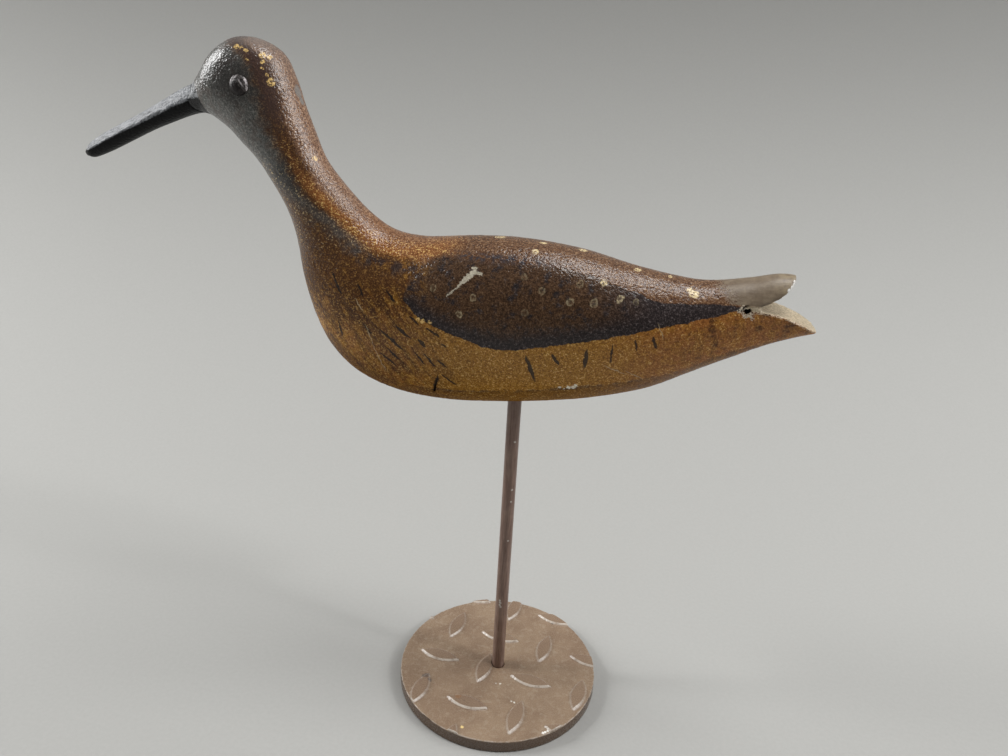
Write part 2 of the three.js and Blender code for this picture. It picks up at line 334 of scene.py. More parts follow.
def plate_rule(material):
    """Raises the lugs on the sheet: rows at one pitch, every second lug turned by a quarter."""
    tree, size = new_rule("raised_lugs", {
        "Pitch": lug_pitch, "Turn": lug_turn, "Start X": lug_start[0], "Start Y": lug_start[1],
        "Length": lug_length, "Width": lug_width, "Height": lug_height, "Slope": lug_slope,
        "Sheet": plate_top})
    start = size["Geometry"]
    place = start.node("GeometryNodeInputPosition").vector("SCALE", 1 / MM)
    worn = place.noise(0.9, 3, 0.6)
    x, y, z = place.parts()
    x, y = x - size["Start X"], y - size["Start Y"]
    turn = size["Turn"] * (math.pi / 180)
    cosine, sine = turn.maths("COSINE"), turn.maths("SINE")
    along, across = x * cosine + y * sine, y * cosine - x * sine
    column, row = [(value / size["Pitch"]).maths("ROUND") for value in (along, across)]
    along, across = along - column * size["Pitch"], across - row * size["Pitch"]
    upright = 1 - (column + row).maths("FLOORED_MODULO", 2)
    length = along + upright * (across - along)
    width = (across + upright * (along - across)).size()
    reach = 1 - (length * 2 / size["Length"]).maths("POWER", 2)
    inset = reach * size["Width"] / 2 - width + (worn - 0.5) * 0.5
    rise = inset.node("ShaderNodeMapRange", {"interpolation_type": "SMOOTHERSTEP"}, {
        "Value": inset, "From Min": 0.0, "From Max": size["Slope"]})
    crown = rise * size["Height"] * (0.93 + (inset / size["Width"]).step(0, 0.45) * 0.07)
    share = z.step(size["Sheet"] - 1.6, size["Sheet"] - 0.02)
    dented = (place.noise(0.16, 2, 0.5) - 0.5) * 0.22 + (place.noise(1.3, 2, 0.6) - 0.5) * 0.07
    lift = (crown + dented * (1 - rise * 0.5)) * share * MM
    offset = lift.node("ShaderNodeCombineXYZ", inputs={"Z": lift})
    moved = start.node("GeometryNodeSetPosition", inputs={"Geometry": start, "Offset": offset})
    close_rule(tree, moved, material)
    return tree


def plate_marks(colour, ragged):
    """Spots of rust and dirt on the sheet, chips down to older coats, and near-white painted glints on
    the rim's edge and a lug corner.
    """
    for mark_x, mark_y, size, strength, *tint in (
            (-33.4, -19.4, 2, 0.6, 0.06, 0.05, 0.05), (-31, -21.6, 1.2, 0.6, 0.05, 0.04, 0.04),
            (-34.5, -21.8, 1, 0.6, 0.45, 0.4, 0.34), (-31.8, -19, 0.5, 0.8, 0.5, 0.45, 0.4),
            (-13.5, -28.5, 1.8, 0.6, 0.24, 0.12, 0.05), (-9.6, -30.6, 1, 0.7, 0.06, 0.05, 0.04),
            (-11.6, -30.8, 0.6, 0.6, 0.06, 0.05, 0.04), (-7.6, -29.6, 0.5, 0.7, 0.5, 0.4, 0.25),
            # (32.4, -37.3), (31.4, -38) and (33.4, -36.4) are painted glints on the rim's edge; (14.2,
            # -23.6) and (12.6, -23.2) are painted glints on a lug corner.
            (-6.5, -45.4, 0.6, 1, 0.8, 0.6, 0.26), (32.4, -37.3, 0.5, 1, 0.85, 0.83, 0.78),
            (31.4, -38, 0.45, 1, 0.85, 0.83, 0.78), (33.4, -36.4, 0.4, 1, 0.8, 0.78, 0.72),
            (4.6, -13.6, 0.3, 1, 0.7, 0.66, 0.58), (2.4, -13.9, 0.25, 1, 0.6, 0.56, 0.5),
            (14.2, -23.6, 0.3, 1, 0.7, 0.66, 0.58), (12.6, -23.2, 0.25, 1, 0.6, 0.56, 0.5),
            (-23, -4, 0.5, 0.8, 0.04, 0.03, 0.03), (-29, -3, 0.4, 0.7, 0.6, 0.4, 0.25),
            (22.6, 39.3, 0.8, 0.8, 0.03, 0.028, 0.03)):
        away = ragged.vector("DISTANCE", (mark_x, mark_y, plate_top), output=1)
        colour = (away.step(size + 0.35, size) * strength).over(colour, tint)
    return colour


def plate_paint():
    """Taupe-brown brushed paint, dusty between the lugs, worn through along the rim and scuffed; its side
    is darker as painted shade, and pale painted highlights lie on the lug flanks that face the front and
    left.
    """
    material, shader, place = new_finish("brown_plate_paint")
    z = place.parts()[2]
    radius = place.vector("MULTIPLY", (1, 1, 0)).vector("LENGTH", output=1)
    height = (z - plate_top).step(0.15, 1.0)
    cloud = place.noise(0.07, 4, 0.6)
    fine = place.noise(1.6, 3, 0.65)
    colour = cloud.step(0.35, 0.68).over((0.235, 0.159, 0.105), (0.3, 0.213, 0.143))
    colour = (height * 0.45).over(colour, (0.21, 0.14, 0.095))
    dust = (place.noise(0.35, 5, 0.7).step(0.5, 0.72) * (1 - height)) * 0.45
    colour = dust.over(colour, (0.4, 0.326, 0.246))
    colour = (fine.step(0.62, 0.78) * 0.35).over(colour, (0.13, 0.09, 0.066))
    # The rim's side is painted dark brown: painted shade on the side of the disc.
    top = z.step(plate_top - 0.6, plate_top - 0.1)
    colour = ((1 - top) * 0.9).over(colour, (0.09, 0.054, 0.033))
    edge = radius.step(plate_radius - 0.75, plate_radius - 0.2) * top
    edge = edge * place.noise(0.45, 4, 0.7).step(0.42, 0.6)
    colour = (edge * 0.75).over(colour, (0.48, 0.42, 0.36))
    colour = plate_marks(colour, place.drifted(1, 0.8))
    # Pale on the lug flanks, strongest on those that face the front and left: painted highlights of the
    # lamps, with a faint rubbed edge all round.
    across, down, upright = place.node("ShaderNodeNewGeometry", output="Normal").parts()
    flank = upright.step(0.97, 0.84) * height.step(0, 0.25) * top
    toward = (across * 0.2 - down * 0.98) / (1.001 - upright * upright).maths("SQRT")
    worn_and_highlit = flank * (0.2 + toward.step(0.3, 0.9) * 0.65) * place.noise(0.35, 3, 0.6).step(0.2, 0.55)
    colour = worn_and_highlit.over(colour, (0.66, 0.59, 0.51))
    rough = 0.22 + fine * 0.1 + dust * 0.12
    lumps = place.noise(0.8, 1, 0.5) * 0.5 + fine * 0.15
    finish_with(shader, Base_Color=colour, Roughness=rough, IOR=1.5, Specular_IOR_Level=0.6,
                Normal=bumped(lumps, 0.2))
    return material


plate_finish = plate_paint()
floor_plate = follow_rule(plate_blank(), plate_rule(plate_finish), Height=lug_height, Pitch=lug_pitch)
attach(floor_plate, "root")
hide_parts("base_plate")


# Rod
# A straight length of round steel bar, its lower end in the plate's hole and its upper end in the
# belly. It is painted brown before it is fitted, and is chipped where the plate and the hand knock it.

rod_low, rod_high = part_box("rod")
rod_radius = rod_high.x / MM


def tube(rings):
    """Points and faces of a closed skin over rings of equal size, capped at both ends."""
    rings = np.asarray(rings)
    count, size = rings.shape[:2]
    points = np.vstack([rings.reshape(-1, 3), rings[0].mean(0), rings[-1].mean(0)])
    faces = []
    for ring in range(count - 1):
        for step in range(size):
            here, after = ring * size + step, ring * size + (step + 1) % size
            faces.append((here, after, after + size, here + size))
    for step in range(size):
        after = (step + 1) % size
        faces.append((after, step, count * size))
        faces.append(((count - 1) * size + step, (count - 1) * size + after, count * size + 1))
    return points, faces


def bar():
    """The bar, a little uneven along its length, as drawn and brushed bar is."""
    rings_along, around = 180, 64
    chamfer = 0.35
    rings = []
    for ring in range(rings_along + 1):
        height = rod_low.z / MM + (rod_high.z - rod_low.z) / MM * ring / rings_along
        radius = rod_radius - 0.03 - (chamfer if ring in (0, rings_along) else 0)
        rings.append([])
        for angle in np.linspace(0, 2 * math.pi, around, endpoint=False):
            reach = radius + 0.018 * math.sin(3 * angle + height * 0.07) * math.sin(height * 0.11)
            rings[-1].append((reach * math.cos(angle), reach * math.sin(angle), height))
    return new_piece("painted_rod", *tube(rings))


def rod_paint():
    """Mauve-brown satin paint with fine brush lines down the bar, thin in streaks, with pale chips."""
    material, shader, place = new_finish("brown_rod_paint")
    drawn = place.vector("MULTIPLY", (1, 1, 0.06))
    lines = drawn.noise(1.5, 4, 0.65)
    cloud = place.noise(0.12, 3, 0.6)
    colour = lines.step(0.35, 0.7).over((0.145, 0.084, 0.062), (0.235, 0.148, 0.112))
    colour = (cloud.step(0.45, 0.75) * 0.5).over(colour, (0.27, 0.188, 0.145))
    ragged = place.drifted(1, 1.4)
    chips = ((-0.5, 49.6, 0.4), (-0.2, 48.3, 0.45), (-0.4, 46.8, 0.4), (0.2, 45.8, 0.3),
             (1.9, 139.4, 0.35), (2, 114, 0.3), (1.9, 107.5, 0.25), (1.7, 85.5, 0.25))
    for side, height, size in chips:
        depth = -math.sqrt(rod_radius ** 2 - side ** 2)
        away = ragged.vector("DISTANCE", (side, depth, height), output=1)
        colour = away.step(size + 0.35, size).over(colour, (0.56, 0.52, 0.47))
    rough = 0.22 + lines * 0.16
    finish_with(shader, Base_Color=colour, Roughness=rough, IOR=1.5,
                Normal=bumped(lines * 0.6 + place.noise(1.8, 3, 0.6) * 0.6, 0.08))
    return material


rod = bar()
rod.data.materials.append(rod_paint())
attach(rod, "root")
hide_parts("rod")


# Carved bird
# Body, neck and head are one piece of wood, shaped with knife and rasp and notched at the tail, so that
# the folded wing tips stand over it. Thick paint dried in grains over all but the tips, now chipped.

carved_length = 266.7
carved_thickness = 49
belly_height = plate_top + 154.6
# From tail to face: a point of the back and one of the belly in hundredths of the length, the width as a
# share of the thickness, and how square the upper and the lower half are, 2 being round
stations = (
    (45.4, 24.4, 45.4, 17.8, 0.38, 2.2, 2.6), (41.5, 25.5, 41.5, 16.3, 0.39, 2.2, 2.6),
    (38.6, 25.6, 38.4, 14.9, 0.41, 2.1, 2.6), (34.1, 24.5, 33.7, 12.4, 0.49, 2, 2.5),
    (27.4, 23.4, 28, 9.3, 0.63, 2, 2.4), (18, 24.4, 21.4, 5.5, 0.81, 2, 2.3),
    (9, 26.2, 13.5, 2.8, 0.94, 2.1, 2.3), (0, 26.9, 5.2, 0.9, 1, 2.1, 2.3),
    (-7.5, 26.6, -3, -0.5, 1, 2.1, 2.3), (-12.5, 26, -11.2, -1.3, 1, 2.1, 2.3),
    (-16.5, 25.6, -20, -0.8, 0.97, 2, 2.3), (-19.4, 25.7, -27.2, 1.7, 0.92, 2, 2.3),
    (-21.6, 26.1, -32.2, 6.2, 0.84, 2, 2.3), (-23.3, 26.8, -35, 11.3, 0.75, 2, 2.2),
    (-25, 27.9, -36.9, 16.9, 0.65, 2, 2.1), (-27.2, 29.6, -38, 22.8, 0.57, 2, 2),
    (-30.6, 33, -39.6, 28.1, 0.53, 2, 2), (-33.6, 36.7, -42.2, 32.5, 0.52, 2, 2),
    (-35.4, 41.1, -44.7, 35.8, 0.54, 2, 2), (-36.9, 44.8, -46.9, 38, 0.56, 2.1, 2.1),
    (-38.2, 48.4, -48.7, 39.7, 0.58, 2.2, 2.1), (-39.9, 51.6, -50.2, 40.7, 0.58, 2.2, 2.1),
    (-43.3, 53.4, -51.4, 41.4, 0.56, 2.2, 2.1), (-47, 53.6, -52.3, 41.8, 0.51, 2.2, 2.1),
    (-50.4, 51.8, -53, 41.9, 0.43, 2.2, 2.1), (-53, 48.8, -53.3, 42, 0.33, 2.2, 2.1),
    (-55.1, 46.4, -53.5, 42, 0.24, 2.8, 2.1),
)
notch_apex = (34.3, 20.7)
wing_underside = (38.4, 21.6)
tail_upperside = (40.0, 20.9)
wing_tip = (40.7, 24.8)
wing_rounding = 2.9
tail_tip = (44.9, 17.9)
tail_rounding = 1.7
bill_droop = math.radians(24)
bill_forward = np.array([-math.cos(bill_droop), 0, -math.sin(bill_droop)])
bill_saddle = 3.2
saddle_run = 3 / 70
slope_depth = 0.42
slope_narrowing = 0.62
end_width = 0.42 * carved_thickness
skin_step = 0.79
paint_grain = 0.16
rasp_depth = 0.35
crack_top = (-29.4, 175.8)
crack_bottom = (-32.6, 165.6)
crack_width = 1.1
crack_reach = 14.5
knot_middle = (91.75, -11.7, 215.9)
knot_reach = (1.3, 3, 1.15)
eye_radius = 4
eye_seat = 1.5
eye_proud = 1.6
eye_room = 0.15


def carved(along, up):
    """A place in the middle plane, from hundredths of the carved length, in millimetres."""
    return along * carved_length / 100, belly_height + up * carved_length / 100


def smooth_line(values, places, power):
    """A smooth curve through rows of values, at places from 0 to 1; a power of 0.25 keeps bends tight."""
    values = np.asarray(values, float)
    values = np.vstack([2 * values[0] - values[1], values, 2 * values[-1] - values[-2]])
    spot = np.asarray(places) * (len(values) - 3)
    first = np.minimum(spot.astype(int), len(values) - 4)
    share = (spot - first)[:, None]
    a, b, c, d = (values[first + step] for step in range(4))
    before, between, after = (np.maximum(((q - p) ** 2).sum(1, keepdims=True), 1e-9) ** power
                              for p, q in ((a, b), (b, c), (c, d)))
    leave = ((b - a) / before - (c - a) / (before + between) + (c - b) / between) * between
    enter = ((c - b) / between - (d - b) / (between + after) + (d - c) / after) * between
    return (b + leave * share + (3 * (c - b) - 2 * leave - enter) * share ** 2
            + (2 * (b - c) + leave + enter) * share ** 3)


def signed_power(values, power):
    """A power that keeps each value's sign."""
    return np.sign(values) * np.abs(values) ** power


face_half_width = stations[-1][4] * carved_thickness / 2


def pared(lift, reach, over, under, wide, share, waver=0):
    """Cuts the two knife slopes into the upper half of a ring, down to the arris on each side."""
    arris = over - slope_depth * (over + under) + waver
    slope = np.clip((lift - arris) / (over - arris), 0, 1)
    flat = np.minimum(np.abs(reach), wide * (1 - slope * slope_narrowing)) * share
    flat = flat + np.abs(reach) * (1 - share)
    return np.where(lift > arris, np.sign(reach) * flat, reach)


def bird_rings():
    """Rings from tail to face, each between a point of the back line and one of the belly line."""
    rings_along, around = 240, 144
    places = np.linspace(0, 1, rings_along + 1)
    table = np.array(stations)
    back = smooth_line(table[:, :2] * carved_length / 100, places, 0.25)
    belly = smooth_line(table[:, 2:4] * carved_length / 100, places, 0.25)
    full = smooth_line(table[:, 4:], places, 0)
    angle = -2 * math.pi * np.arange(around) / around
    rise, side = np.sin(angle), np.cos(angle)
    rings = []
    for above, below, (width, upper, lower), place in zip(back, belly, full, places):
        power = 2 / np.where(rise > 0, upper, lower)
        middle = (above + below) / 2
        target = np.where((rise > 0)[:, None], above, below)
        lift = signed_power(rise, power)
        flat = middle + (target - middle) * np.abs(lift)[:, None]
        half_width = width * carved_thickness / 2
        share = max(0, 1 - (1 - place) * (len(stations) - 1)) ** 0.5
        y = pared(lift, signed_power(side, power) * half_width, 1, 1, half_width, share)
        rings.append(np.stack([flat[:, 0], y, flat[:, 1] + belly_height], 1))
    rings = np.array(rings)
    for ring, place in zip(rings, places):
        strength = max(0, 1 - (1 - place) / saddle_run)
        reach = np.minimum(1, np.abs(ring[:, 1]) / face_half_width)
        ring += bill_forward * (bill_saddle * reach ** 2 * strength)[:, None]
    return rings


def bow(start, control, end, count=24):
    """A curve from start to end that bends towards a control place."""
    share = np.linspace(0, 1, count)[:, None]
    start, control, end = map(np.array, (start, control, end))
    return start * (1 - share) ** 2 + control * 2 * share * (1 - share) + end * share ** 2


def slab(name, outline, low, high, upright):
    """A cutter: an outline made thick, in the middle plane when upright, or else seen from above."""
    count = len(outline)
    points = []
    for depth in (low, high):
        points += [(a, depth, b) if upright else (a, b, depth) for a, b in outline]
    afters = [*range(1, count), 0]
    faces = [(step, after, count + after, count + step) for step, after in enumerate(afters)]
    faces += [range(count - 1, -1, -1), range(count, 2 * count)]
    cutter = new_piece(name, points, faces, smooth=False)
    area = sum(a[0] * b[1] - a[1] * b[0] for a, b in zip(outline, [*outline[1:], outline[0]]))
    if (area > 0) == upright:
        cutter.data.flip_normals()
    return cutter


def cut(piece, *cutters):
    """Takes the cutters out of a piece."""
    for cutter in cutters:
        boolean = piece.modifiers.new(cutter.name, "BOOLEAN")
        boolean.operation, boolean.solver, boolean.object = "DIFFERENCE", "MANIFOLD", cutter
    settled(piece)
    for cutter in cutters:
        bpy.data.objects.remove(cutter)


def cleaned(piece, sliver=0.02):
    """Takes out the slivers that a cut leaves, and the fins: pairs of triangles back to back."""
    work = bmesh.new()
    work.from_mesh(piece.data)
    bmesh.ops.dissolve_degenerate(work, dist=sliver * MM, edges=work.edges)
    bmesh.ops.triangulate(work, faces=work.faces)
    same = {}
    for face in work.faces:
        same.setdefault(frozenset(face.verts), []).append(face)
    bmesh.ops.delete(work, geom=[face for pair in same.values() if len(pair) > 1 for face in pair],
                     context="FACES")
    work.to_mesh(piece.data)
    work.free()


def notch_cutter():
    """The open notch between the wing tips and the tail, in two bows from its head."""
    apex, under, upper, tip, tail = (carved(*spot) for spot in (
        notch_apex, wing_underside, tail_upperside, wing_tip, tail_tip))
    clear = carved_length
    outline = [*bow(apex, upper, tail), (tail[0] + clear, tail[1]), (tail[0] + clear, tip[1] + clear),
               (tip[0], tip[1] + clear), *bow(tip, under, apex)[:-1]]
    return slab("notch", outline, -carved_thickness, carved_thickness, True)


def end_cutter(name, spot, rounding, low, high):
    """What is cut away to round an end, seen from above."""
    end = carved(*spot)[0]
    length = rounding * carved_length / 100
    start, clear = end - length, carved_thickness
    outline = [(start, clear)]
    for angle in np.linspace(math.pi / 2, -math.pi / 2, 32):
        outline.append((start + length * math.cos(angle), end_width / 2 * math.sin(angle)))
    outline += [(start, -clear), (end + clear, -clear), (end + clear, clear)]
    return slab(name, outline, low, high, False)


bird = new_piece("carved_decoy", *tube(bird_rings()))
split = carved(*notch_apex)[1]
cut(bird, notch_cutter(),
    end_cutter("wing_tip_rounding", wing_tip, wing_rounding, split, split + carved_length),
    end_cutter("tail_tip_rounding", tail_tip, tail_rounding, split - carved_length, split))
remesh = bird.modifiers.new("even", "REMESH")
remesh.mode, remesh.voxel_size = "VOXEL", skin_step * MM
remesh.use_smooth_shade = True
settled(bird)


def relief_rule(material):
    """Lumps of thick paint over all but the bare tips, and shallow hollows left by the rasp."""
    tree, size = new_rule("paint_and_rasp", {"Grain": paint_grain, "Rasp": rasp_depth})
    start = size["Geometry"]
    place = start.node("GeometryNodeInputPosition").vector("SCALE", 1 / MM)
    x, _, z = place.parts()
    bare = (x + z).step(302, 308) * 0.85
    seat = x.step(-146, -141)
    grain = (place.noise(0.42, 3, 0.6) - 0.5) * size["Grain"] * 2 * (1 - bare)
    drawn = place.vector("MULTIPLY", (0.4, 1, 1))
    rasp = (drawn.noise(0.055, 2, 0.5) - 0.5) * size["Rasp"] * 2
    lift = (grain + rasp) * seat * MM
    normal = start.node("GeometryNodeInputNormal")
    moved = start.node("GeometryNodeSetPosition", inputs={
        "Geometry": start, "Offset": normal.vector("SCALE", lift)})
    close_rule(tree, moved, material)
    return tree


def profile(value, knots):
    """The height of a line drawn through knots, at a value along it."""
    (first, _), (last, _) = knots[0], knots[-1]
    low, high = min(b for _, b in knots), max(b for _, b in knots)
    scaled = [((a - first) / (last - first), (b - low) / (high - low)) for a, b in knots]
    share = (value - first) / (last - first)
    return share.node("ShaderNodeFloatCurve", {"points": scaled}, {"Value": share}) * (high - low) + low


def strokes(place, marks):
    """How far off the nearest brush stroke is, from the side: middle, half length, half width, slant."""
    nearest = None
    for along, up, length, width, slant in marks:
        away = place.node("ShaderNodeMapping", {"vector_type": "TEXTURE"}, {
            "Vector": place, "Location": (along, 0, up), "Rotation": (0, math.radians(slant), 0),
            "Scale": (length, 1e4, width)}).vector("LENGTH", output=1)
        nearest = away if nearest is None else nearest.smallest(away)
    return nearest


# The paints: in the pits, on the level and on the grains, as a share of the grain's height and a tint.
# Each is darker in the pits and much lighter on the grains: painted shade in the pits and painted glints
# on the grain tops, together with wear of the high points.
ochre_paint = ((0.32, 0.215, 0.092, 0.012), (0.49, 0.38, 0.172, 0.022), (0.63, 0.5, 0.245, 0.04),
               (0.8, 0.8, 0.56, 0.21))
rust_paint = ((0.26, 0.17, 0.058, 0.011), (0.5, 0.31, 0.114, 0.028), (0.68, 0.4, 0.165, 0.042),
              (0.88, 0.66, 0.38, 0.14))
umber_paint = (0.3, 0.042, 0.015, 0.004), (0.56, 0.08, 0.031, 0.008), (0.8, 0.27, 0.14, 0.036)
russet_paint = (0.28, 0.05, 0.021, 0.01), (0.5, 0.13, 0.058, 0.025), (0.86, 0.36, 0.225, 0.125)
# The tawny of the nape is made lighter than its paint, as painted sheen.
tawny_sheen_paint = (0.28, 0.07, 0.033, 0.02), (0.5, 0.215, 0.112, 0.064), (0.8, 0.46, 0.3, 0.19)
slate_paint = (0.26, 0.042, 0.043, 0.038), (0.5, 0.09, 0.09, 0.083), (0.76, 0.23, 0.222, 0.2)
brown_paint = (0.3, 0.03, 0.013, 0.004), (0.54, 0.08, 0.039, 0.018), (0.8, 0.155, 0.088, 0.045)
black_paint = (0.3, 0.014, 0.01, 0.01), (0.58, 0.034, 0.024, 0.023), (0.8, 0.12, 0.098, 0.095)


def flank_coat(place, ragged, grain, mottle):
    """Ochre flanks, rust towards the tail, and a breast that is darkened by brushed streaks."""
    x, _, z = ragged.parts()
    rust, umber, black = (grain.tints(*paint) for paint in (rust_paint, umber_paint, black_paint))
    tailward = x.step(25, 75) * (0.45 + mottle.step(0.4, 0.58) * 0.5)
    colour = tailward.over(grain.tints(*ochre_paint), rust)
    brushed = place.node("ShaderNodeMapping", {"vector_type": "TEXTURE"}, {
        "Vector": place, "Rotation": (0, math.radians(52), 0), "Scale": (7, 2, 1)})
    streak = brushed.noise(0.5, 4, 0.6)
    breast = x.step(-20, -50)
    colour = (breast * mottle.step(0.42, 0.56) * 0.7).over(colour, rust)
    shade = (x.step(0, -45) * 0.4 + z.step(180, 218) * x.step(-25, -60) * 0.8
             + (streak - 0.5) * x.step(-5, -40) * 2.3 + (mottle - 0.5) * breast)
    colour = shade.smallest(0.95).largest(0).over(colour, umber)
    # Gold on the highest grains of the lower breast: gilt flecks lightened as painted glints.
    gilt_and_glints = (grain + (mottle - 0.5) * 0.5).step(0.6, 0.72) * x.step(-10, -45) * z.step(215, 190)
    colour = (gilt_and_glints * 0.5).over(colour, (0.56, 0.34, 0.1))
    # Below the keel line the colour turns umber: painted shade on the underside together with darker
    # paint.
    keel = z - profile(x, ((-78, 186), (-71, 179), (-57, 170.6), (-48, 168.6), (-30, 167.8), (-3, 171),
                           (22, 175.8), (39, 179.7), (54, 183.5), (70, 188.9), (84, 196.8), (112, 206)))
    colour = (keel.step(0.3, -0.6) * 0.5).over(colour, umber)
    line = keel.size().step(1.1, 0.2) * mottle.step(0.38, 0.55) * x.step(-45, -25) * x.step(70, 50)
    colour = (line * 0.55).over(colour, black)
    smeared = place.vector("MULTIPLY", (1, 1, 0.3)).noise(0.3, 4, 0.7)
    colour = (x.step(55, 80) * smeared.step(0.48, 0.66) * 0.45).over(colour, umber)
    stains = spots(ragged, (
        (79.3, -13.8, 208, 2), (79.6, -13.8, 211.6, 1.8), (79.2, -13.8, 204.6, 1.5),
        (81.5, -13.8, 201.6, 1.5), (108.7, -9.2, 210.8, 2.6), (97, -11, 209.5, 1.8)))
    return (stains.step(1.3, 0.5) * mottle.step(0.38, 0.6) * 0.8).over(colour, umber)


def neck_coat(colour, ragged, grain, mottle, seam, high):
    """Tawny nape, lightened as painted sheen, and umber throat, on the two sides of the seam from the eye
    to the wing, and gilding with painted glints on its grains.
    """
    x, _, z = ragged.parts()
    rust, umber, black = (grain.tints(*paint) for paint in (rust_paint, umber_paint, black_paint))
    colour = (seam.step(-1, 3) * high).over(colour, (z.step(258, 240) * 0.7).over(umber, rust))
    nape = (seam + (mottle - 0.5) * 8).step(5, 10) * high
    colour = (nape * (0.55 + x.step(-62, -76) * 0.45)).over(colour, grain.tints(*tawny_sheen_paint))
    colour = (seam.size().step(7, 2) * x.step(-52, -70) * high * 0.8).over(colour, umber)
    behind_eye = seam.step(-2, 2) * seam.step(9, 5) * z.step(262, 280)
    colour = (behind_eye * 0.75).over(colour, (0.055, 0.032, 0.028))
    gilded = z - profile(x, ((-100, 264), (-94, 251.5), (-82, 240), (-79.7, 237.6), (-73, 231.6),
                             (-63.8, 226.8), (-52.6, 224.3), (-41.5, 224.8), (-29.2, 228),
                             (-17.2, 230.5), (-10, 232)))
    gold = gilded.size().step(5, 0.5) * x.step(-8, -28) * high * (1 - z.step(238, 268) * 0.8)
    colour = (gold * 0.6).over(colour, rust)
    # Gold on the highest grains of the gold band: gilding lightened as painted glints.
    gilding_and_glints = (grain + gold * 0.08).step(0.64, 0.78).smallest(gold * 2)
    colour = (gilding_and_glints * 0.7).over(colour, (0.74, 0.49, 0.17))
    shadow = gilded.step(-2.5, -4) * gilded.step(-10, -6) * x.step(-78, -68) * x.step(-34, -42)
    return (shadow * mottle.step(0.42, 0.58) * 0.75).over(colour, black)


def face_coat(colour, ragged, grain, mottle, seam, high):
    """Slate face with dull patches and a pale painted sheen on the crown and the back of the head, and
    black lips with painted reflection on top; and the lips' mask.
    """
    x, _, z = ragged.parts()
    throat = z + x * 0.61 + (mottle - 0.5) * 12
    face = (seam + (mottle - 0.5) * 9).step(2, -5) * throat.step(176, 190) * x.step(-60, -75)
    colour = face.over(colour, grain.tints(*slate_paint))
    colour = (mottle.step(0.47, 0.62) * face * 0.55).over(colour, (0.085, 0.062, 0.05))
    dull = spots(ragged, ((-121, -12, 288, 13), (-109, -13, 285, 8), (-99, -12, 250, 10)))
    colour = (dull.step(1.1, 0.4) * face * 0.7).over(colour, (0.026, 0.022, 0.02))
    # A pale grey over the crown and the back of the head: painted sheen, a reflection of the pale wall.
    sheen_film = z.step(280, 300) * seam.step(3, 12) * 0.3 + z.step(297, 304) * 0.4
    colour = sheen_film.over(colour, (0.2, 0.178, 0.165))
    specks = (grain + x.step(-84, -94) * 0.04).step(0.7, 0.82) * x.step(-66, -80) * high
    colour = (specks * seam.step(4, 0) * z.step(262, 252)).over(colour, (0.55, 0.42, 0.22))
    lips = x - profile(z, ((270, -137.8), (274.6, -138.9), (277, -139.4), (279.7, -140.7),
                           (282.4, -141.7), (284, -143.2), (288, -147)))
    lips = lips.step(0.7, -0.6)
    # The grey on the upper side of the lips, above the arris, is painted reflection together with rubbed
    # paint.
    upward = (z - 279.6 - (x + 140.7) * 0.18).step(-0.2, 0.5)
    worn_and_highlit = upward * (grain + 0.1).step(0.42, 0.6)
    return lips.over(colour, worn_and_highlit.over((0.012, 0.012, 0.0125), (0.32, 0.33, 0.34))), lips


def wing_coat(colour, ragged, grain, mottle, over_wing, under_wing):
    """The folded wing: brown, with a black border below, and smudged into the breast in front."""
    x, _, z = ragged.parts()
    blur = x.step(15, -10) * 1.6 + 0.3
    wing = under_wing.step(-0.25, 0.25) * over_wing.step(blur, blur * -1)
    wing = wing * x.step(-45.6, -44.6) * x.step(92, 90)
    front = x.step(-32, -42) * z.step(207, 213)
    wing = wing * (1 - front * mottle.step(0.54, 0.42) * 0.85)
    inner = under_wing.step(2, 10) * x.step(60, 25) * x.step(-45, -36) * mottle.step(0.32, 0.5)
    return wing.over(colour, inner.over(grain.tints(*black_paint), grain.tints(*brown_paint)))


def plumage(place, ragged, grain):
    """The painted feathers, coat over coat, from the flank to the wing; and the lips' mask."""
    x, _, z = ragged.parts()
    mottle = place.noise(0.25, 4, 0.65)
    over_wing = z - profile(x, (
        (-46, 208), (-44, 213), (-41.5, 217), (-39, 221), (-36, 223.5), (-28, 225.5), (-19, 225),
        (0, 225.7), (17.7, 225.7), (25.7, 224.9), (33.9, 223), (42, 220.7), (50.1, 218.7),
        (58.2, 216.5), (73.5, 216.7), (81.1, 217.3), (91, 217)))
    under_wing = z - profile(x, (
        (-46, 208), (-43, 205), (-39.5, 201.7), (-34, 199.1), (-28.4, 196.9), (-15.4, 193.4),
        (-8, 191.8), (0, 191.8), (9.6, 194), (37, 200.6), (56, 206), (74.4, 211.3), (91, 216.6)))
    seam = x - profile(z, (
        (221, -47), (224.5, -59), (230.6, -72.6), (235, -79.2), (240.6, -87.8), (246.2, -94.3),
        (252, -97.6), (261.7, -102.4), (269.3, -106.2), (276.9, -109), (284.4, -110.3), (292, -113.5),
        (298, -119), (302, -127)))
    high = z.step(221, 225) * x.step(-20, -40)
    colour = flank_coat(place, ragged, grain, mottle)
    colour = (over_wing.step(-3, -1) * x.step(-42, -34)).over(colour, grain.tints(*russet_paint))
    flaked = (place.noise(0.5, 3, 0.6) + grain * 0.5).step(0.72, 0.8) * x.step(-40, -30) * x.step(30, 0)
    colour = (over_wing.size().step(4, 1) * flaked).over(colour, (0.035, 0.032, 0.04))
    colour = neck_coat(colour, ragged, grain, mottle, seam, high)
    colour, lips = face_coat(colour, ragged, grain, mottle, seam, high)
    return wing_coat(colour, ragged, grain, mottle, over_wing, under_wing), lips


